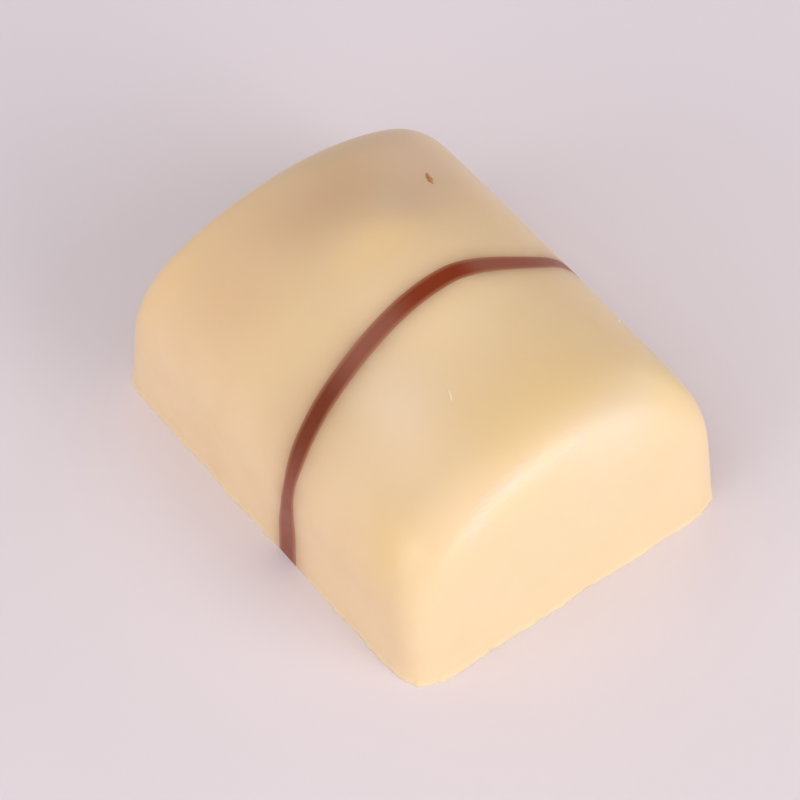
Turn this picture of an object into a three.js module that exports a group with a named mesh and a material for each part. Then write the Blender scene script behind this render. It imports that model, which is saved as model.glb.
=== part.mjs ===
// A moulded praline of white chocolate with one milk chocolate stripe across it.
// Millimetres, +Z up, +Y along its length, origin at the middle of the flat underside.
// The end that faces -Y is the front.

import * as THREE from 'three';

// Driving sizes of the body
const length = 32;
const width = 24.8;
const height = 14.35;
const wallHeight = 5.8;         // straight lower part of the long sides
const sideDraft = 1.5;          // degrees that the long sides lean in
const endDraft = 5.2;           // degrees that the end faces lean in
const shoulderRadius = 7.75;    // from the wall into the crown
const endRunCrown = 3.45;       // rounding of the end, measured along Y at the crown
const endDropCrown = 3.2;       // the same rounding, measured down the end face
const cornerRadius = 2.45;      // upright corners at the foot
const lengthwiseBow = 0.3;      // how much higher the crown is in the middle

// Driving sizes of the stripe. A share is a place on the way round the section, 0 at the left foot.
const stripeWidth = 1.4;        // along Y
const stripeFlare = 0.35;       // wider at the left foot by this
const stripeNeck = 0.33;        // narrower by this just above the foot
const stripeTaper = 0.5;        // narrower down the right side by this
const stripeRise = 0.06;
const stripeBevel = 0.1;        // sloping edge on each side of it
const stripeFootY = -2.57;      // where it runs up the left side
const stripeSag = 0.2;          // how far it swings forward above the foot
const stripeClimb = 2.9;        // how far it swings back on the way to the crown
const stripeFall = 1.43;        // how far it swings forward again on the right
const sagShares = [0.07, 0.28];
const climbShares = [0.14, 0.57];
const fallShares = [0.555, 0.71];
const flareShares = [0.06, 0.12];
const taperShares = [0.58, 0.8];
const neckShare = 0.165;
const neckReach = 0.04;

// Driving sizes of the uneven foot
const lipReach = 0.2;           // most that the foot stands out from the wall
const lipHeight = 0.5;
const lipTurn = 8;              // how sharply it turns from the sides to the ends
const lipMean = 0.35;           // shares of the reach: an even part, broad waves and fine waves
const broadShare = 0.45;
const fineShare = 0.35;
const broadRate = { x: 0.9, y: 0.75 };      // radians a millimetre
const broadStart = { x: 1.3, y: 0.4 };
const fineRate = { x: 2.3, y: 1.9 };
const fineSkew = 0.6;
const fineStart = 2.1;

// Fineness of the surface
const wallSteps = 5;
const shoulderSteps = 10;
const crownSteps = 9;
const endSteps = 8;
const fieldSteps = 6;

const radians = THREE.MathUtils.degToRad;
const smoothstep = THREE.MathUtils.smoothstep;
const lerp = THREE.MathUtils.lerp;

// Cross-section from the right foot over the crown to the left foot.
// Each point carries the angle of its outward normal and its share of the way round.
function crossSection() {
  const draft = radians(sideDraft);
  const wallTop = width / 2 - wallHeight * Math.tan(draft);
  const shoulder = new THREE.Vector2(
    wallTop - shoulderRadius * Math.cos(draft),
    wallHeight - shoulderRadius * Math.sin(draft),
  );
  const rise = height - shoulder.y;
  const spread = shoulder.x ** 2 + rise ** 2 - shoulderRadius ** 2;
  const crownRadius = spread / (2 * (rise - shoulderRadius));
  const crown = new THREE.Vector2(0, height - crownRadius);
  const meeting = shoulder.clone().sub(crown).angle();

  const half = [{ point: new THREE.Vector2(width / 2, 0), angle: draft }];
  for (let i = 0; i < wallSteps; i += 1) {
    const level = lerp(lipHeight, wallHeight, i / wallSteps);
    const x = lerp(width / 2, wallTop, level / wallHeight);
    half.push({ point: new THREE.Vector2(x, level), angle: draft });
  }
  addArc(half, shoulder, shoulderRadius, draft, meeting, shoulderSteps);
  addArc(half, crown, crownRadius, meeting, Math.PI / 2, crownSteps);
  half.push({ point: new THREE.Vector2(0, height), angle: Math.PI / 2 });

  const left = half.slice(0, -1).reverse().map(({ point, angle }) => ({
    point: new THREE.Vector2(-point.x, point.y),
    angle: Math.PI - angle,
  }));
  const section = [...half, ...left];
  measureRound(section);
  return section;
}

// Points of an arc, without its last one
function addArc(list, centre, radius, from, to, steps) {
  for (let i = 0; i < steps; i += 1) {
    const angle = lerp(from, to, i / steps);
    const point = new THREE.Vector2(radius, 0).rotateAround(new THREE.Vector2(), angle).add(centre);
    list.push({ point, angle });
  }
}

function measureRound(section) {
  let run = 0;
  section.forEach((entry, i) => {
    run += i === 0 ? 0 : entry.point.distanceTo(section[i - 1].point);
    entry.share = run;
  });
  section.forEach((entry) => {
    entry.share = 1 - entry.share / run;
  });
}

// Middle line of the stripe, as Y over the share of the way round
function stripeMiddle(share) {
  const climb = stripeClimb * smoothstep(share, ...climbShares);
  const fall = stripeFall * smoothstep(share, ...fallShares);
  const sag = stripeSag * smoothstep(share, ...sagShares);
  return stripeFootY + climb - fall - sag;
}

function stripeHalf(share) {
  const flare = stripeFlare * (1 - smoothstep(share, ...flareShares));
  const neck = stripeNeck * Math.exp(-(((share - neckShare) / neckReach) ** 2));
  const taper = stripeTaper * smoothstep(share, ...taperShares);
  return (stripeWidth + flare - neck - taper) / 2;
}

// Small irregular swell of the foot, by place on the underside
function lipAt(x, y) {
  const broad = Math.sin(broadRate.x * x + broadStart.x) * Math.sin(broadRate.y * y + broadStart.y);
  const fine = Math.sin(fineRate.x * x - fineSkew * y) * Math.sin(fineRate.y * y + fineStart);
  return lipReach * THREE.MathUtils.clamp(lipMean + broadShare * broad + fineShare * fine, 0, 1);
}

// One ring over the body. turn is 0 where the rounding of the end begins
// and a quarter turn at the end face. side is -1 for the front and 1 for the back.
function endRing(section, side, turn) {
  return section.map(({ point, angle }) => {
    const level = smoothstep(point.y, 0, height);
    const run = lerp(cornerRadius, endRunCrown, level);
    const drop = lerp(cornerRadius, endDropCrown, level) * (1 - Math.cos(turn));
    const x = point.x - drop * Math.cos(angle);
    const z = point.y === 0 ? 0 : point.y - drop * Math.sin(angle);
    const reach = length / 2 - run * (1 - Math.sin(turn)) - z * Math.tan(radians(endDraft));
    return new THREE.Vector3(x, side * reach, z);
  });
}

// One ring along the stripe, offset in Y from its middle line and raised from the wall
function stripeRing(section, offset, rise) {
  return section.map(({ point, angle, share }) => {
    const y = stripeMiddle(share) + offset(share);
    const z = point.y === 0 ? 0 : point.y + rise * Math.sin(angle);
    return new THREE.Vector3(point.x + rise * Math.cos(angle), y, z);
  });
}

function ringBetween(ringA, ringB, t) {
  return ringA.map((point, i) => point.clone().lerp(ringB[i], t));
}

// All rings from the front end face to the back end face
function bodyRings(section) {
  const turns = Array.from({ length: endSteps + 1 }, (_, i) => (Math.PI / 2) * (1 - i / endSteps));
  const front = turns.map((turn) => endRing(section, -1, turn));
  const back = turns.map((turn) => endRing(section, 1, turn)).reverse();
  const frontEdge = stripeRing(section, (share) => -stripeHalf(share) - stripeBevel, 0);
  const backEdge = stripeRing(section, (share) => stripeHalf(share) + stripeBevel, 0);
  const frontField = fieldRings(front.at(-1), frontEdge);
  const backField = fieldRings(backEdge, back[0]);
  return [
    ...front,
    ...frontField,
    frontEdge,
    stripeRing(section, (share) => -stripeHalf(share), stripeRise),
    stripeRing(section, (share) => stripeHalf(share), stripeRise),
    backEdge,
    ...backField,
    ...back,
  ];
}

function fieldRings(ringA, ringB) {
  const steps = Array.from({ length: fieldSteps - 1 }, (_, i) => (i + 1) / fieldSteps);
  return steps.map((t) => ringBetween(ringA, ringB, t));
}

// Raise the crown a little towards the middle and let the foot stand out unevenly
function finishPoint(point, origin) {
  const along = Math.min(1, Math.abs(2 * point.y / length));
  const lip = origin.y === 0 ? lipAt(point.x, point.y) : 0;
  const endShare = along ** lipTurn;
  point.z += lengthwiseBow * (1 - along ** 2) * origin.y / height;
  point.x += Math.sign(point.x) * lip * (1 - endShare);
  point.y += Math.sign(point.y) * lip * endShare;
}

// Closed surface over the rings, with flat end faces and a flat underside
function closedSurface(rings) {
  const count = rings[0].length;
  const positions = rings.flatMap((ring) => ring.flatMap((point) => point.toArray()));
  const at = (ring, i) => ring * count + i;
  const faces = [];
  const quad = (a, b, c, d) => faces.push(a, b, c, a, c, d);
  for (let ring = 0; ring < rings.length - 1; ring += 1) {
    for (let i = 0; i < count - 1; i += 1) {
      quad(at(ring, i), at(ring + 1, i), at(ring + 1, i + 1), at(ring, i + 1));
    }
    quad(at(ring, count - 1), at(ring + 1, count - 1), at(ring + 1, 0), at(ring, 0));
  }
  const last = rings.length - 1;
  const middle = (count - 1) / 2;
  for (let i = 0; i < middle; i += 1) {
    const j = count - 1 - i;
    if (i + 1 === middle) {
      faces.push(at(0, i), at(0, middle), at(0, j));
      faces.push(at(last, i), at(last, j), at(last, middle));
    } else {
      quad(at(0, i), at(0, i + 1), at(0, j - 1), at(0, j));
      quad(at(last, i), at(last, j), at(last, j - 1), at(last, i + 1));
    }
  }
  const geometry = new THREE.BufferGeometry();
  geometry.setAttribute('position', new THREE.Float32BufferAttribute(positions, 3));
  geometry.setIndex(faces);
  geometry.computeVertexNormals();
  return geometry;
}

function praline() {
  const section = crossSection();
  const rings = bodyRings(section);
  rings.forEach((ring) => ring.forEach((point, i) => finishPoint(point, section[i].point)));
  const geometry = closedSurface(rings);
  geometry.computeBoundingBox();
  const centre = geometry.boundingBox.getCenter(new THREE.Vector3());
  geometry.translate(-centre.x, -centre.y, 0);
  const whiteChocolate = new THREE.MeshStandardMaterial({
    color: '#ecd0a4',
    roughness: 0.35,
    metalness: 0,
  });
  const mesh = new THREE.Mesh(geometry, whiteChocolate);
  mesh.name = 'praline';
  return mesh;
}

const object = new THREE.Group();
object.add(praline());

export default object;
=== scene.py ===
import math

import bmesh
import bpy
from mathutils import Matrix, Vector
from mathutils.bvhtree import BVHTree
from mathutils.geometry import intersect_point_line


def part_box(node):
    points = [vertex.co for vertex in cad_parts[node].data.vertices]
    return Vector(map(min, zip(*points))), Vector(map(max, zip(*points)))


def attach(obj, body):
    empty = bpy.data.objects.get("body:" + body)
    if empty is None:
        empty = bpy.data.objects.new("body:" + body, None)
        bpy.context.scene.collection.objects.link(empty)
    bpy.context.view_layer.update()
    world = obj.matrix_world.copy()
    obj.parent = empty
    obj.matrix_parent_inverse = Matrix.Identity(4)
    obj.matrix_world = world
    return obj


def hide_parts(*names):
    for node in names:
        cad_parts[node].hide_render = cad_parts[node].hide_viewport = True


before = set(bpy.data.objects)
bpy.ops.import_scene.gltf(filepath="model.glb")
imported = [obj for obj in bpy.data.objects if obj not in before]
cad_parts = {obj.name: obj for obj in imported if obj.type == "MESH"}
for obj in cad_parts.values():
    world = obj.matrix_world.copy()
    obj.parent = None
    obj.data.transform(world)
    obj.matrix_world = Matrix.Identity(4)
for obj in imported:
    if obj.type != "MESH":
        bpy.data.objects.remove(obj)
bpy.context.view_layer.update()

mm = 0.001
tiny = 0.001 * mm
bottom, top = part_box("praline")
size = top - bottom
print("frame loaded, praline", [round(side / mm, 2) for side in size], "mm")


# Small helpers for modelling by operators

def dropSelection():
    for thing in bpy.context.selected_objects:
        thing.select_set(False)
    bpy.context.view_layer.objects.active = None


def take(piece):
    dropSelection()
    piece.select_set(True)
    bpy.context.view_layer.objects.active = piece


def openEdit(piece, mode="VERT"):
    take(piece)
    bpy.ops.object.mode_set(mode="EDIT")
    bpy.ops.mesh.select_mode(type=mode)
    bpy.ops.mesh.select_all(action="DESELECT")


def closeEdit():
    bpy.ops.object.mode_set(mode="OBJECT")


def pickVerts(piece, test):
    mesh = bmesh.from_edit_mesh(piece.data)
    for vert in mesh.verts:
        vert.select = bool(test(vert.co))
    mesh.select_flush_mode()
    bmesh.update_edit_mesh(piece.data)


def pickEdges(piece, test):
    mesh = bmesh.from_edit_mesh(piece.data)
    bpy.ops.mesh.select_mode(type="EDGE")
    for edge in mesh.edges:
        edge.select = bool(test(edge.verts[0].co, edge.verts[1].co))
    mesh.select_flush_mode()
    bmesh.update_edit_mesh(piece.data)


def pickFaces(piece, test):
    mesh = bmesh.from_edit_mesh(piece.data)
    bpy.ops.mesh.select_mode(type="FACE")
    for face in mesh.faces:
        face.select = bool(test(face.calc_center_median(), face.normal))
    mesh.select_flush_mode()
    bmesh.update_edit_mesh(piece.data)


def pull(x=0, y=0, z=0):
    bpy.ops.transform.translate(value=(x, y, z))


def addModifier(piece, kind, **values):
    modifier = piece.modifiers.new(kind.title(), kind)
    for name, value in values.items():
        setattr(modifier, name, value)
    return modifier


def applyAll(piece):
    take(piece)
    for modifier in list(piece.modifiers):
        bpy.ops.object.modifier_apply(modifier=modifier.name)


def settle(piece):
    take(piece)
    bpy.ops.object.transform_apply(location=True, rotation=True, scale=True)


def flattenFoot(piece, below=0.04 * mm):
    openEdit(piece)
    pickVerts(piece, lambda co: co.z < below)
    bpy.ops.transform.resize(value=(1, 1, 0), center_override=(0, 0, 0))
    closeEdit()


def smoothShade(piece, degrees):
    take(piece)
    bpy.ops.object.shade_smooth_by_angle(angle=math.radians(degrees))


def ease(low, high, value):
    t = min(1, max(0, (value - low) / (high - low)))
    return t * t * (3 - 2 * t)


# Section of the moulded bar, drawn as a chain of edges from the right foot over the crown

sectionSizes = {
    "width": 24.8 * mm,
    "height": 14.35 * mm,
    "wallHeight": 5.8 * mm,
    "draft": math.radians(1.5),
    "shoulderRadius": 7.75 * mm,
    "seam": 0.01 * mm,              # points this close in the middle are joined
}


def sectionArcs():
    s = sectionSizes
    wallTop = s["width"] / 2 - s["wallHeight"] * math.tan(s["draft"])
    shoulderX = wallTop - s["shoulderRadius"] * math.cos(s["draft"])
    shoulderZ = s["wallHeight"] - s["shoulderRadius"] * math.sin(s["draft"])
    rise = s["height"] - shoulderZ
    spread = shoulderX ** 2 + rise ** 2 - s["shoulderRadius"] ** 2
    crownRadius = spread / (2 * (rise - s["shoulderRadius"]))
    crownZ = s["height"] - crownRadius
    meeting = math.atan2(shoulderZ - crownZ, shoulderX)
    return wallTop, (shoulderX, shoulderZ), crownZ, meeting


def drawSection(name, wallSteps, shoulderSteps, crownSteps):
    wallTop, shoulder, crownZ, meeting = sectionArcs()
    footX = sectionSizes["width"] / 2
    bpy.ops.mesh.primitive_plane_add(size=mm, location=(footX, 0, 0))
    piece = bpy.context.active_object
    piece.name = name
    settle(piece)
    openEdit(piece)
    bpy.ops.mesh.select_all(action="SELECT")
    bpy.ops.mesh.merge(type="CENTER")
    step = Vector((wallTop - footX, 0, sectionSizes["wallHeight"])) / wallSteps
    for _ in range(wallSteps):
        bpy.ops.mesh.extrude_region_move(TRANSFORM_OT_translate={"value": step})
    bpy.ops.mesh.spin(steps=shoulderSteps, angle=meeting - sectionSizes["draft"],
                      center=(shoulder[0], 0, shoulder[1]), axis=(0, 1, 0))
    bpy.ops.mesh.spin(steps=crownSteps, angle=math.pi / 2 - meeting,
                      center=(0, 0, crownZ), axis=(0, 1, 0))
    closeEdit()
    addModifier(piece, "MIRROR", use_axis=(True, False, False),
                merge_threshold=sectionSizes["seam"])
    applyAll(piece)
    return piece


# The moulded body, shaped as a coarse cage and then smoothed

bodySizes = {
    "length": 32 * mm,
    "endDraft": math.radians(5.2),
    "crownRounding": 4.6 * mm,     # at the ends, where they meet the crown
    "footRounding": 3.3 * mm,      # the upright corners
    "roundingSegments": 8,
    "roundingShape": 0.63,          # firmer than a circle, for the soft ridge round the end faces
    "endFit": 0.02 * mm,            # how near a point of the end faces lies to their plane
    "lengthCuts": 15,
    "bow": 0.3 * mm,                # crown higher in the middle
    "bowBins": 80,
    "capReach": 4 * mm,
    "footCuts": 13,
    "footInset": 0.6 * mm,
    "smoothing": 3,
}


def drawCage():
    cage = drawSection("body", wallSteps=3, shoulderSteps=6, crownSteps=5)
    half = bodySizes["length"] / 2
    openEdit(cage)
    pickVerts(cage, lambda co: co.z < tiny)
    bpy.ops.mesh.edge_face_add()                    # the underside's edge
    bpy.ops.mesh.select_all(action="SELECT")
    bpy.ops.mesh.edge_face_add()                    # the front end
    pull(y=-half)
    bpy.ops.mesh.extrude_region_move(TRANSFORM_OT_translate={"value": (0, 2 * half, 0)})
    for side in (-1, 1):                            # lean both ends in
        pickVerts(cage, lambda co: abs(co.y - side * half) < tiny)
        bpy.ops.transform.rotate(value=-side * bodySizes["endDraft"], orient_axis="X",
                                 center_override=(0, side * half, 0))
        stretch = 1 / math.cos(bodySizes["endDraft"])
        bpy.ops.transform.resize(value=(1, 1, stretch), center_override=(0, side * half, 0))
    bpy.ops.mesh.select_all(action="SELECT")
    bpy.ops.mesh.normals_make_consistent(inside=False)
    closeEdit()
    return cage


def endEdgeTest(side):
    half = bodySizes["length"] / 2
    lean = math.tan(bodySizes["endDraft"])

    def onEnd(co):
        return abs(side * co.y - (half - co.z * lean)) < bodySizes["endFit"]

    return lambda a, b: onEnd(a) and onEnd(b)


def roundEnds(cage):
    wide = bodySizes["crownRounding"]
    narrow = bodySizes["footRounding"]
    _, shoulder, _, meeting = sectionArcs()
    low = sectionSizes["wallHeight"]
    high = shoulder[1] + sectionSizes["shoulderRadius"] * math.sin(meeting)
    weights = cage.data.attributes.new("bevel_weight_edge", "FLOAT", "EDGE")
    points = cage.data.vertices
    for edge in cage.data.edges:
        a, b = (points[i].co for i in edge.vertices)
        onEnd = any(endEdgeTest(side)(a, b) for side in (-1, 1))
        if onEnd and max(a.z, b.z) > tiny:
            level = min(1, max(0, ((a.z + b.z) / 2 - low) / (high - low)))
            weights.data[edge.index].value = (narrow + (wide - narrow) * level) / wide
    addModifier(cage, "BEVEL", limit_method="WEIGHT", width=wide,
                profile=bodySizes["roundingShape"], segments=bodySizes["roundingSegments"],
                use_clamp_overlap=False, loop_slide=False)
    applyAll(cage)


def addLoops(cage):
    reach = bodySizes["capReach"]
    openEdit(cage)
    pickEdges(cage, lambda a, b: abs(a.y - b.y) > bodySizes["length"] / 2)
    bpy.ops.mesh.subdivide(number_cuts=bodySizes["lengthCuts"])
    pickEdges(cage, lambda a, b: abs(a.x - b.x) > sectionSizes["width"] / 2
              and max(a.z, b.z) < tiny)
    bpy.ops.mesh.subdivide(number_cuts=bodySizes["footCuts"])
    pickEdges(cage, lambda a, b: max(a.z, b.z) < tiny)
    bpy.ops.transform.edge_crease(value=1)          # a sharp foot
    pickFaces(cage, lambda centre, normal: normal.z < -0.9)
    bpy.ops.mesh.inset(thickness=bodySizes["footInset"])
    for side in (-1, 1):                            # each end face becomes a grid of squares
        pickFaces(cage, lambda centre, normal: side * normal.y > 0.9 and abs(centre.x) < reach
                  and centre.z < 2 * reach)
        bpy.ops.mesh.delete(type="ONLY_FACE")
        bpy.ops.mesh.select_mode(type="EDGE")
        bpy.ops.mesh.select_non_manifold(extend=False, use_wire=False, use_multi_face=False,
                                         use_non_contiguous=False, use_verts=False)
        bpy.ops.mesh.fill_grid(span=bodySizes["footCuts"] + 1)
    bpy.ops.mesh.select_all(action="SELECT")
    bpy.ops.mesh.normals_make_consistent(inside=False)
    closeEdit()


def bowCrown(cage):
    openEdit(cage)
    half = bodySizes["length"] / 2
    bins = bodySizes["bowBins"]
    for i in range(bins):
        near, far = half * i / bins, half * (i + 1) / bins
        pickVerts(cage, lambda co: near <= abs(co.y) < far and co.z > tiny)
        along = (i + 0.5) / bins
        lift = 1 + bodySizes["bow"] * (1 - along ** 2) / sectionSizes["height"]
        bpy.ops.transform.resize(value=(1, 1, lift), center_override=(0, 0, 0))
    closeEdit()


# Slow waves left by the mould and an uneven foot

reliefSizes = {
    "waveSize": 9 * mm,
    "waveDepth": 0.09 * mm,
    "waveStart": 2.5 * mm,          # at full depth above this height
    "waveMiddle": 0.5,
    "lipSize": 2.2 * mm,
    "lipDepth": 0.34 * mm,
    "lipMiddle": 0.3,
    "crumbSize": 0.5 * mm,
    "crumbDepth": 0.38 * mm,
    "crumbMiddle": 0.4,
    "lipHeight": 0.55 * mm,
    "calmLeft": -2.6 * mm,          # the foot is even where the stripe comes down
    "calmRight": -1.3 * mm,
    "calmReach": (1 * mm, 2.4 * mm),
}


def weigh(piece, name, weightOf):
    group = piece.vertex_groups.new(name=name)
    for vert in piece.data.vertices:
        weight = weightOf(vert.co)
        if weight > 0:
            group.add([vert.index], weight, "REPLACE")


def cloudTexture(name, noiseSize, depth):
    texture = bpy.data.textures.new(name, "CLOUDS")
    texture.noise_scale = noiseSize
    texture.noise_depth = depth
    return texture


def footWeight(co):
    r = reliefSizes
    calmPlace = r["calmLeft"] if co.x < 0 else r["calmRight"]
    uneven = ease(*r["calmReach"], abs(co.y - calmPlace))
    return uneven * max(0, 1 - co.z / r["lipHeight"])


def addRelief(piece):
    r = reliefSizes
    weigh(piece, "shell", lambda co: min(1, co.z / r["waveStart"]))
    weigh(piece, "foot", footWeight)
    for name, detail, group in (("wave", 1, "shell"), ("lip", 1, "foot"), ("crumb", 2, "foot")):
        addModifier(piece, "DISPLACE", texture=cloudTexture(name, r[name + "Size"], detail),
                    texture_coords="LOCAL", strength=r[name + "Depth"],
                    mid_level=r[name + "Middle"], vertex_group=group)
    applyAll(piece)
    flattenFoot(piece)
    piece.vertex_groups.clear()


def makeBody():
    levels = bodySizes["smoothing"]
    body = drawCage()
    roundEnds(body)
    addLoops(body)
    bowCrown(body)
    addModifier(body, "SUBSURF", levels=levels, render_levels=levels)
    applyAll(body)
    addRelief(body)
    smoothShade(body, 50)
    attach(body, "root")
    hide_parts("praline")
    return body


body = makeBody()
bodyTree = BVHTree.FromObject(body, bpy.context.evaluated_depsgraph_get())
print("body", len(body.data.polygons), "faces")


# The milk chocolate stripe, a thin inlay that follows the body

stripeSizes = {
    "width": 1.4 * mm,
    "flare": 0.35 * mm,             # wider at the left foot
    "neck": 0.33 * mm,              # and narrow just above it
    "taper": 0.5 * mm,              # narrower down the right side
    "footPlace": -2.57 * mm,        # where it runs up the left side
    "climb": 2.9 * mm,              # swings back on its way to the crown
    "fall": 1.43 * mm,              # and forward again on the right
    "sag": 0.2 * mm,                # slight swing forward above the foot
    "climbShares": (0.14, 0.57),    # 0 is the left foot and 1 the right foot
    "fallShares": (0.555, 0.71),
    "taperShares": (0.58, 0.8),
    "flareShares": (0.06, 0.12),
    "sagShares": (0.07, 0.28),
    "neckShare": 0.165,
    "neckReach": 0.04,
    "depth": 0.3 * mm,
    "proud": 0.02 * mm,
    "bevel": 0.03 * mm,
    "columns": 12,
    "footPush": 1.06,               # low down it starts outside the body, to wrap over its lip
}


def stripeMiddle(share):
    s = stripeSizes
    climb = s["climb"] * ease(*s["climbShares"], share)
    fall = s["fall"] * ease(*s["fallShares"], share)
    sag = s["sag"] * ease(*s["sagShares"], share)
    return s["footPlace"] + climb - fall - sag


def stripeWidth(share):
    s = stripeSizes
    flare = s["flare"] * (1 - ease(*s["flareShares"], share))
    neck = s["neck"] * math.exp(-((share - s["neckShare"]) / s["neckReach"]) ** 2)
    return s["width"] + flare - neck - s["taper"] * ease(*s["taperShares"], share)


def courseOf(section):
    places = [vert.co.copy() for vert in section.data.vertices]
    places.sort(key=lambda co: math.atan2(co.z, -co.x))
    runs = [0]
    for here, there in zip(places, places[1:]):
        runs.append(runs[-1] + (there - here).length)
    return [(place, run / runs[-1]) for place, run in zip(places, runs)]


def makeStripe():
    s = stripeSizes
    stripe = drawSection("stripe", wallSteps=28, shoulderSteps=24, crownSteps=18)
    course = courseOf(stripe)
    openEdit(stripe)
    bpy.ops.mesh.select_all(action="SELECT")
    pull(y=-mm / 2)                                 # a ribbon 1 mm wide, then each row is set
    step = (0, mm / s["columns"], 0)
    for _ in range(s["columns"]):
        bpy.ops.mesh.extrude_region_move(TRANSFORM_OT_translate={"value": step})
    for place, share in course:
        pickVerts(stripe, lambda co: abs(co.x - place.x) + abs(co.z - place.z) < tiny)
        bpy.ops.transform.resize(value=(1, stripeWidth(share) / mm, 1), center_override=(0, 0, 0))
        pull(y=stripeMiddle(share))
    pickVerts(stripe, lambda co: co.z < reliefSizes["lipHeight"])
    bpy.ops.transform.resize(value=(s["footPush"], 1, 1), center_override=(0, 0, 0))
    bpy.ops.mesh.select_all(action="SELECT")
    bpy.ops.mesh.normals_make_consistent(inside=False)
    closeEdit()
    addModifier(stripe, "SHRINKWRAP", target=body, wrap_method="NEAREST_SURFACEPOINT",
                wrap_mode="ABOVE_SURFACE", offset=s["proud"])
    addModifier(stripe, "SOLIDIFY", thickness=s["depth"], offset=-1)
    addModifier(stripe, "BEVEL", limit_method="ANGLE", width=s["bevel"], segments=2)
    applyAll(stripe)
    flattenFoot(stripe)
    smoothShade(stripe, 40)
    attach(stripe, "root")
    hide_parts("praline")
    return stripe, course


stripe, course = makeStripe()
print("stripe", len(stripe.data.polygons), "faces")


# Small marks in the surface: an orange-brown fleck, a pale scratch and a white speck

markSizes = {
    "fleckStart": Vector((7.07, 8.39, 13.1)) * mm,      # its wide end
    "fleckEnd": Vector((6.81, 7.21, 13.3)) * mm,        # its narrow tail
    "fleckWidth": 0.46 * mm,
    "scratchStart": Vector((-2.87, -6.94, 14.4)) * mm,
    "scratchEnd": Vector((-3.2, -7.67, 14.3)) * mm,
    "scratchWidth": 0.1 * mm,
    "speckPlace": Vector((10.59, -6.99, 10.53)) * mm,
    "speckWidth": 0.22 * mm,
    "speckLength": 0.2 * mm,
    "thickness": 0.14 * mm,
    "flatten": 0.6,
    "tailWidth": 0.45,
    "tailSteps": 4,
    "edgeSize": 0.3 * mm,
    "edgeDepth": 0.5,               # of its width
}


def layOnBody(piece, place, along):
    spot, normal, _, _ = bodyTree.find_nearest(place)
    across = normal.cross(along).normalized()
    turn = Matrix((across.cross(normal), across, normal)).transposed().to_4x4()
    piece.matrix_world = Matrix.Translation(spot) @ turn
    settle(piece)


def makeMark(name, start, end, width, tail):
    m = markSizes
    along = end - start
    bpy.ops.mesh.primitive_ico_sphere_add(subdivisions=4, radius=0.5 * mm)
    mark = bpy.context.active_object
    mark.name = name
    longest = max(along.length, width)
    narrowing = tail ** (1 / m["tailSteps"])
    openEdit(mark)
    bpy.ops.mesh.select_all(action="SELECT")
    bpy.ops.transform.resize(value=(longest / mm, width / mm, m["thickness"] / mm))
    for i in range(m["tailSteps"]):                 # narrower step by step towards the tail
        reach = longest / 2 * i / m["tailSteps"]
        pickVerts(mark, lambda co: co.x > reach)
        bpy.ops.transform.resize(value=(1, narrowing, 1), center_override=(0, 0, 0))
    closeEdit()
    addModifier(mark, "DISPLACE", texture=cloudTexture(name + "Edge", m["edgeSize"], 1),
                texture_coords="LOCAL", strength=m["edgeDepth"] * width, mid_level=0.5)
    applyAll(mark)
    openEdit(mark)
    bpy.ops.mesh.select_all(action="SELECT")
    bpy.ops.transform.resize(value=(1, 1, m["flatten"]), center_override=(0, 0, 0))
    closeEdit()
    layOnBody(mark, (start + end) / 2, along)
    take(mark)
    bpy.ops.object.shade_smooth()
    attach(mark, "root")
    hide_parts("praline")
    return mark


def makeMarks():
    m = markSizes
    speckEnd = m["speckPlace"] + Vector((0, m["speckLength"], 0))
    return (makeMark("fleck", m["fleckStart"], m["fleckEnd"], m["fleckWidth"], m["tailWidth"]),
            makeMark("scratch", m["scratchStart"], m["scratchEnd"], m["scratchWidth"], 1),
            makeMark("speck", m["speckPlace"], speckEnd, m["speckWidth"], 1))


fleck, scratch, speck = makeMarks()
print("marks made")


# Soft spots on the white, place and reach in mm, and colour. Most are painted light and shade:
# painted shadow across the back of the crown and beside the lower stripe, painted highlights and
# sheen on the crown, the left vault, the front face, the front ridge and the back left edge, and
# painted warm shading where the crown and the front left corner turn from the lamps.
# The rest are only warmer in tone.

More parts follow.
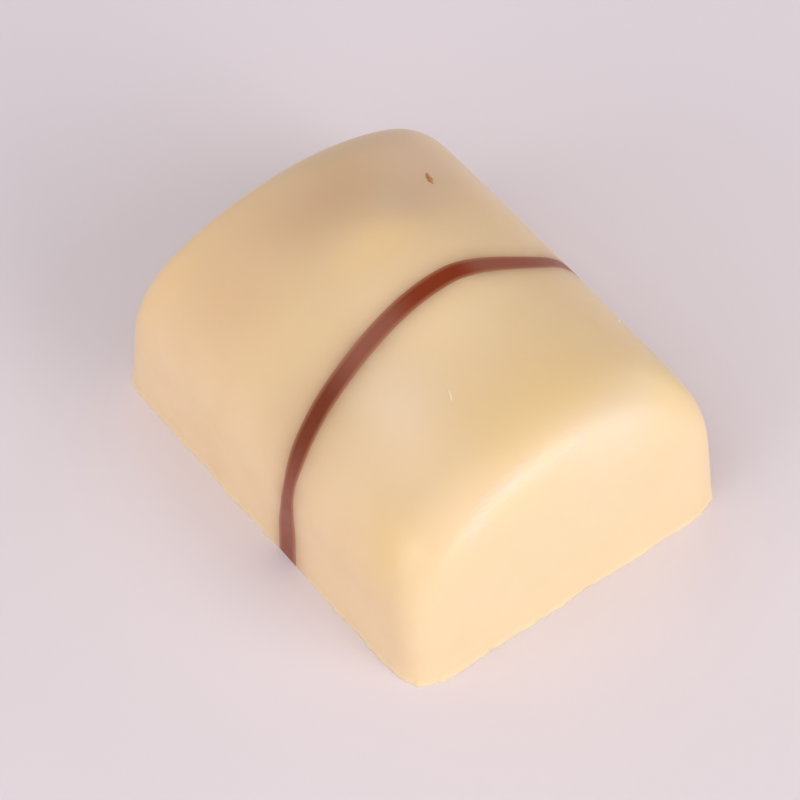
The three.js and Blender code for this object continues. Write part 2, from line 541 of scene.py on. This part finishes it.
paintedLightAndShade = {
    # painted shadow across the back of the crown
    "backShadow": ((0, 9.2, 13.3), (8, 4.2, 4), (0.625, 0.40, 0.235)),
    # painted highlight on the middle of the crown
    "light": ((0.2, -1.2, 14.3), (5, 5.3, 4), (0.93, 0.69, 0.415)),
    # painted sheen on the front of the left vault
    "pale": ((-5.7, -6, 12.9), (2.6, 5.5, 4), (0.865, 0.66, 0.46)),
    # painted warm shading where the crown turns down to the front
    "warm": ((1.2, -10.8, 13.8), (8, 4, 3), (0.85, 0.605, 0.31)),
    # painted shadow at the back right of the crown
    "top": ((7, 10, 12.5), (3, 4, 4), (0.73, 0.515, 0.355)),
    "vault": ((-7, 3.5, 12), (4, 5, 4), (0.81, 0.58, 0.32)),
    # painted shade on the left vault beside the lower stripe
    "low": ((-9.2, -1.8, 10.6), (3, 3.4, 3.5), (0.71, 0.505, 0.30)),
    # painted warm shading where the flank turns at the front left corner
    "corner": ((-10.9, -11.7, 9.8), (2, 2.2, 3.5), (0.815, 0.575, 0.285)),
    # paler front face: painted highlight tone where the lamps fall fullest
    "front": ((0, -16.4, 7), (15, 2.4, 10), (0.745, 0.592, 0.37)),
    # painted highlight along the right part of the front ridge
    "edge": ((5, -14.3, 12.5), (5, 1.6, 3), (0.79, 0.625, 0.435)),
    "right": ((10.4, -12.9, 11.5), (3, 2.2, 3), (0.82, 0.6, 0.305)),
    # painted shadow at the back left of the crown
    "left": ((-7.5, 8.3, 11.5), (3.5, 3.5, 4), (0.75, 0.50, 0.285)),
    # painted shadow, greyer, at the back of the crown beside the stripe
    "grey": ((4.2, 6.7, 13.5), (2.2, 2, 3), (0.68, 0.475, 0.32)),
    # painted light just in front of the painted shadow at the back
    "glow": ((0.3, 4.4, 14), (3.2, 1.9, 3), (0.87, 0.61, 0.32)),
    # painted highlight along the back left edge
    "rim": ((-6, 13.5, 11), (7, 2, 4), (0.875, 0.59, 0.31)),
}


# Masks: the stain beside the stripe, the pale rim of the foot, the streaked ridge at the front that
# carries a painted highlight, the painted light and shade spots on the white, and the painted sheen
# on the paler stretches of the stripe and its more orange stretches

maskSizes = {
    "stainReach": 0.58 * mm,
    "rimHeight": 0.7 * mm,
    "sheenSteps": ((0.16, 0.65), (0.26, 0), (0.3, 0), (0.39, 1),    # share round, strength
                   (0.43, 1), (0.5, 0), (0.57, 0), (0.61, 1)),
    "burntShares": (0.34, 0.5),
    "ridgeReach": 0.7 * mm,
    "ridgePlaces": ((-7.1, -14.6, 10.9), (-5.7, -14.1, 12.2), (-3.2, -14, 12.9), (1.7, -14.1, 13)),
}


def paintMask(piece, name, valueOf):
    mask = piece.data.attributes.new(name, "FLOAT", "POINT")
    for vert in piece.data.vertices:
        mask.data[vert.index].value = valueOf(vert.co)


stripeTree = BVHTree.FromObject(stripe, bpy.context.evaluated_depsgraph_get())
ridgePlaces = [Vector(place) * mm for place in maskSizes["ridgePlaces"]]


def stainAt(co):
    _, _, _, distance = stripeTree.find_nearest(co)
    return math.exp(-distance / maskSizes["stainReach"])


def ridgeAt(co):
    gaps = []
    for start, end in zip(ridgePlaces, ridgePlaces[1:]):
        _, share = intersect_point_line(co, start, end)
        gaps.append((start.lerp(end, min(1, max(0, share))) - co).length)
    return math.exp(-(min(gaps) / maskSizes["ridgeReach"]) ** 2)


def shareAt(co):
    return min(course, key=lambda entry: abs(entry[0].x - co.x) + abs(entry[0].z - co.z))[1]


def edgeAt(co):
    share = shareAt(co)
    return abs(co.y - stripeMiddle(share)) / (stripeWidth(share) / 2)


def sheenAt(co):
    share = shareAt(co)
    steps = maskSizes["sheenSteps"]
    value = steps[0][1]
    for (low, before), (high, after) in zip(steps, steps[1:]):
        value += (after - before) * ease(low, high, share)
    return value


def patchAt(co, place, reach):
    return math.exp(-sum(((co[i] / mm - place[i]) / reach[i]) ** 2 for i in range(3)))


paintMask(body, "stain", stainAt)
paintMask(body, "ridge", ridgeAt)
for name, (place, reach, _) in paintedLightAndShade.items():
    paintMask(body, name, lambda co: patchAt(co, place, reach))
paintMask(stripe, "edge", edgeAt)
paintMask(stripe, "sheen", sheenAt)
paintMask(stripe, "burnt", lambda co: ease(*maskSizes["burntShares"], shareAt(co)))
paintMask(body, "foot", lambda co: max(0, 1 - co.z / maskSizes["rimHeight"]))


# Materials

def newMaterial(name):
    material = bpy.data.materials.new(name)
    material.use_nodes = True
    tree = material.node_tree
    shader = tree.nodes["Principled BSDF"]
    return material, tree, shader


def addNode(tree, kind, **values):
    node = tree.nodes.new(kind)
    for name, value in values.items():
        setattr(node, name, value)
    return node


def setInputs(node, **values):
    for name, value in values.items():
        node.inputs[name].default_value = value


def mixColours(tree, factor, colourA, colourB):
    mix = addNode(tree, "ShaderNodeMix", data_type="RGBA")
    tree.links.new(factor, mix.inputs["Factor"])
    for socket, colour in ((mix.inputs[6], colourA), (mix.inputs[7], colourB)):
        if isinstance(colour, tuple):
            socket.default_value = (*colour, 1)
        else:
            tree.links.new(colour, socket)
    return mix.outputs[2]


def remap(tree, value, span, result=(0, 1)):
    node = addNode(tree, "ShaderNodeMapRange", interpolation_type="SMOOTHSTEP")
    tree.links.new(value, node.inputs["Value"])
    setInputs(node, **{"From Min": span[0], "From Max": span[1],
                       "To Min": result[0], "To Max": result[1]})
    return node.outputs["Result"]


def maskOf(tree, name):
    return addNode(tree, "ShaderNodeAttribute", attribute_name=name).outputs["Fac"]


def calculate(tree, operation, *values):
    node = addNode(tree, "ShaderNodeMath", operation=operation)
    for socket, value in zip(node.inputs, values):
        if isinstance(value, (int, float)):
            socket.default_value = value
        else:
            tree.links.new(value, socket)
    return node.outputs[0]


# Broad and fine noise that every material uses, each with its own scale

mottlingParts = (("Scale", "Clouds", 4), ("Grain", "Fine", 6))      # input, output, detail


def makeMottling():
    group = bpy.data.node_groups.new("mottling", "ShaderNodeTree")
    for socketIn, socketOut, _ in mottlingParts:
        group.interface.new_socket(socketIn, in_out="INPUT", socket_type="NodeSocketFloat")
        group.interface.new_socket(socketOut, in_out="OUTPUT", socket_type="NodeSocketFloat")
    entry = addNode(group, "NodeGroupInput")
    leave = addNode(group, "NodeGroupOutput")
    place = addNode(group, "ShaderNodeTexCoord")
    for socketIn, socketOut, detail in mottlingParts:
        noise = addNode(group, "ShaderNodeTexNoise")
        noise.inputs["Detail"].default_value = detail
        group.links.new(place.outputs["Object"], noise.inputs["Vector"])
        group.links.new(entry.outputs[socketIn], noise.inputs["Scale"])
        group.links.new(noise.outputs["Fac"], leave.inputs[socketOut])
    return group


mottling = makeMottling()


def addMottling(tree, scale, grain):
    node = addNode(tree, "ShaderNodeGroup", node_tree=mottling)
    setInputs(node, Scale=scale, Grain=grain)
    return node.outputs["Clouds"], node.outputs["Fine"]


def addBump(tree, shader, height, strength, distance):
    bump = addNode(tree, "ShaderNodeBump")
    setInputs(bump, Strength=strength, Distance=distance)
    tree.links.new(height, bump.inputs["Height"])
    tree.links.new(bump.outputs["Normal"], shader.inputs["Normal"])


chocolateIor = 1.46

whiteLook = {
    "colour": (0.81, 0.59, 0.36),
    "patch": (0.79, 0.565, 0.335),
    "patchSpan": (0.35, 0.7),
    "rimColour": (0.90, 0.74, 0.50),
    "rimStrength": 0.35,
    "stainColour": (0.27, 0.055, 0.018),
    "stainStrength": 0.5,
    "stainUneven": (0.75, 1.1),
    "cloudScale": 260,
    "grainScale": 2600,
    "cloudSpan": (0.3, 0.7),
    "roughness": (0.29, 0.36),
    "bump": 0.02 * mm,
    "bumpStrength": 0.12,
    "glow": 0.3,
    "glowColours": (1, 0.8, 0.4),
    "glowReach": 1.0 * mm,
    "streakScale": (800, 3000, 3000),       # short lines left by the mould on the front ridge; their colour also carries a painted highlight
    "streakSpan": (0.42, 0.58),
    "streakResult": (0.15, 1),
    "streakDepth": 12.0,
    # pale streaks along the front ridge: scuffed bloom and a painted highlight
    "ridgeScuffAndHighlight": (0.785, 0.595, 0.43),
}


def addStreaks(tree):
    w = whiteLook
    place = addNode(tree, "ShaderNodeTexCoord")
    stretch = addNode(tree, "ShaderNodeMapping")
    noise = addNode(tree, "ShaderNodeTexNoise")
    setInputs(stretch, Scale=w["streakScale"])
    setInputs(noise, Scale=1, Detail=2)
    tree.links.new(place.outputs["Object"], stretch.inputs["Vector"])
    tree.links.new(stretch.outputs["Vector"], noise.inputs["Vector"])
    lines = remap(tree, noise.outputs["Fac"], w["streakSpan"], w["streakResult"])
    return calculate(tree, "MULTIPLY", maskOf(tree, "ridge"), lines)


def makeWhite():
    w = whiteLook
    material, tree, shader = newMaterial("whiteChocolate")
    clouds, fine = addMottling(tree, w["cloudScale"], w["grainScale"])
    colour = mixColours(tree, remap(tree, clouds, w["patchSpan"]), w["colour"], w["patch"])
    # painted light and shade, spot by spot
    for name, (_, _, paintedColour) in paintedLightAndShade.items():
        colour = mixColours(tree, maskOf(tree, name), colour, paintedColour)
    streaks = addStreaks(tree)
    # painted highlight along the front ridge, broken into the scuffed streaks
    colour = mixColours(tree, streaks, colour, w["ridgeScuffAndHighlight"])
    foot = remap(tree, maskOf(tree, "foot"), (0, 1), (0, w["rimStrength"]))
    colour = mixColours(tree, foot, colour, w["rimColour"])
    uneven = remap(tree, clouds, w["cloudSpan"], w["stainUneven"])
    stain = calculate(tree, "MULTIPLY", maskOf(tree, "stain"), uneven)
    stain = calculate(tree, "MULTIPLY", stain, w["stainStrength"])
    colour = mixColours(tree, stain, colour, w["stainColour"])
    tree.links.new(colour, shader.inputs["Base Color"])
    tree.links.new(remap(tree, clouds, w["cloudSpan"], w["roughness"]), shader.inputs["Roughness"])
    setInputs(shader, **{"Subsurface Weight": w["glow"], "Subsurface Radius": w["glowColours"],
                         "Subsurface Scale": w["glowReach"], "IOR": chocolateIor})
    height = calculate(tree, "MULTIPLY_ADD", streaks, w["streakDepth"], fine)
    addBump(tree, shader, height, w["bumpStrength"], w["bump"])
    return material


milkLook = {
    "colour": (0.188, 0.031, 0.006),
    "patch": (0.168, 0.026, 0.004),
    "patchSpan": (0.35, 0.65),
    "burntColour": (0.245, 0.029, 0.003),   # more orange where it crosses the crown
    # painted sheen: the paler, mauve stretches stand in for reflections of the lamps
    "sheenColour": (0.30, 0.09, 0.054),
    "edgeColour": (0.56, 0.28, 0.15),       # where it thins out over the white
    "edgeSpan": (0.5, 1.1),
    "edgeStrength": 0.55,
    "cloudScale": 700,
    "grainScale": 3000,
    "cloudSpan": (0.3, 0.7),
    "roughness": (0.30, 0.42),
    "shine": 0.3,
    "bump": 0.02 * mm,
    "bumpStrength": 0.3,
    "glow": 0.1,
    "glowColours": (1, 0.4, 0.2),
    "glowReach": 0.5 * mm,
}


def makeMilk():
    k = milkLook
    material, tree, shader = newMaterial("milkChocolate")
    clouds, fine = addMottling(tree, k["cloudScale"], k["grainScale"])
    colour = mixColours(tree, remap(tree, clouds, k["patchSpan"]), k["colour"], k["patch"])
    colour = mixColours(tree, maskOf(tree, "burnt"), colour, k["burntColour"])
    # painted sheen along the stripe
    colour = mixColours(tree, maskOf(tree, "sheen"), colour, k["sheenColour"])
    edge = remap(tree, maskOf(tree, "edge"), k["edgeSpan"], (0, k["edgeStrength"]))
    colour = mixColours(tree, edge, colour, k["edgeColour"])
    tree.links.new(colour, shader.inputs["Base Color"])
    tree.links.new(remap(tree, clouds, k["cloudSpan"], k["roughness"]), shader.inputs["Roughness"])
    setInputs(shader, **{"Subsurface Weight": k["glow"], "Subsurface Radius": k["glowColours"],
                         "Subsurface Scale": k["glowReach"], "IOR": chocolateIor,
                         "Specular IOR Level": k["shine"]})
    addBump(tree, shader, fine, k["bumpStrength"], k["bump"])
    return material


# The marks, each with two colours and a roughness

markLook = {
    "fleck": ((0.60, 0.27, 0.075), (0.50, 0.18, 0.045), 0.4),
    "paleMark": ((0.93, 0.82, 0.62), (0.9, 0.78, 0.56), 0.5),
    "patchSpan": (0.35, 0.65),
    "cloudScale": 3000,
    "grainScale": 6000,
    "bump": 0.02 * mm,
    "bumpStrength": 0.4,
    "glow": 0.1,
    "glowReach": 0.3 * mm,
}


def makeMarkMaterial(name):
    m = markLook
    colour, patch, roughness = m[name]
    material, tree, shader = newMaterial(name)
    clouds, fine = addMottling(tree, m["cloudScale"], m["grainScale"])
    colour = mixColours(tree, remap(tree, clouds, m["patchSpan"]), colour, patch)
    tree.links.new(colour, shader.inputs["Base Color"])
    setInputs(shader, **{"Roughness": roughness, "Subsurface Weight": m["glow"],
                         "Subsurface Scale": m["glowReach"]})
    addBump(tree, shader, fine, m["bumpStrength"], m["bump"])
    return material


body.data.materials.append(makeWhite())
stripe.data.materials.append(makeMilk())
fleck.data.materials.append(makeMarkMaterial("fleck"))
paleMark = makeMarkMaterial("paleMark")
scratch.data.materials.append(paleMark)
speck.data.materials.append(paleMark)
print("materials made")


# Table, lights and camera, as in the photograph

stageLook = {
    "tableSize": 0.7,
    "tableColour": (0.83, 0.74, 0.785),
    "tablePatch": 0.98,             # of that colour
    "tableScale": 30,
    "tableGrain": 900,
    "tableRoughness": 0.6,
    "worldColour": (1.0, 0.98, 0.97),
    "worldStrength": 0.15,
    "lampDistance": 0.6,
}


def addTable():
    look = stageLook
    bpy.ops.mesh.primitive_plane_add(size=look["tableSize"], location=(0, 0, 0))
    table = bpy.context.active_object
    table.name = "table"
    material, tree, shader = newMaterial("table")
    clouds, _ = addMottling(tree, look["tableScale"], look["tableGrain"])
    patch = tuple(value * look["tablePatch"] for value in look["tableColour"])
    colour = mixColours(tree, clouds, look["tableColour"], patch)
    tree.links.new(colour, shader.inputs["Base Color"])
    setInputs(shader, Roughness=look["tableRoughness"])
    table.data.materials.append(material)


# Soft boxes round the table, each with its azimuth, elevation, width and power

lamps = {
    "key": (-65, 32, 0.34, 0.94),
    "front": (-90, 9, 0.32, 1.12),
    "frontMiddle": (-75, 20, 0.3, 0.79),
    "frontRight": (-45, 11, 0.35, 0.34),
    "frontLeft": (-145, 45, 0.8, 1.0),
    "left": (180, 9, 0.45, 1.45),
    "leftHigh": (180, 45, 0.8, 1.25),
    "backLeft": (118, 58, 0.4, 0.08),
    "back": (90, 30, 0.6, 0.77),
    "backRight": (60, 9, 0.4, 0.18),
    "rightHigh": (53, 54, 0.45, 0.12),
    "right": (0, 9, 0.45, 0.8),
}


def addLamp(name, azimuth, elevation, width, power):
    azimuth, elevation = math.radians(azimuth), math.radians(elevation)
    away = Vector((math.cos(azimuth) * math.cos(elevation), math.sin(azimuth) * math.cos(elevation),
                   math.sin(elevation)))
    light = bpy.data.lights.new(name, "AREA")
    light.energy = power
    light.size = width
    lamp = bpy.data.objects.new(name, light)
    bpy.context.scene.collection.objects.link(lamp)
    lamp.location = away * stageLook["lampDistance"]
    lamp.rotation_euler = away.to_track_quat("Z", "Y").to_euler()
    lamp.visible_camera = False


cameraSizes = {
    "azimuth": math.radians(-36.2),
    "elevation": math.radians(53.07),
    "roll": math.radians(-1.22),
    "distance": 282.04 * mm,
    "target": Vector((-2.494, -1.381, 7.166)) * mm,
    "lens": 202.4,
    "sensor": 36,
}


def addCamera():
    c = cameraSizes
    flat = math.cos(c["elevation"])
    back = Vector((math.sin(c["azimuth"]) * flat, -math.cos(c["azimuth"]) * flat,
                   math.sin(c["elevation"])))
    right = Vector((math.cos(c["azimuth"]), math.sin(c["azimuth"]), 0))
    upward = back.cross(right)
    sideways = right * math.cos(c["roll"]) + upward * math.sin(c["roll"])
    upright = upward * math.cos(c["roll"]) - right * math.sin(c["roll"])
    camera = bpy.data.cameras.new("camera")
    camera.lens = c["lens"]
    camera.sensor_width = c["sensor"]
    camera.clip_start = mm
    camera.dof.use_dof = False
    thing = bpy.data.objects.new("camera", camera)
    bpy.context.scene.collection.objects.link(thing)
    thing.matrix_world = Matrix.Translation(c["target"] + back * c["distance"]) @ Matrix(
        (sideways, upright, back)).transposed().to_4x4()
    bpy.context.scene.camera = thing


def addWorld():
    world = bpy.data.worlds.new("studio")
    world.use_nodes = True
    background = world.node_tree.nodes["Background"]
    setInputs(background, Color=(*stageLook["worldColour"], 1), Strength=stageLook["worldStrength"])
    bpy.context.scene.world = world
    bpy.context.scene.view_settings.view_transform = "Standard"


addTable()
for name, (azimuth, elevation, width, power) in lamps.items():
    addLamp(name, azimuth, elevation, width, power)
addCamera()
addWorld()
print("stage set")
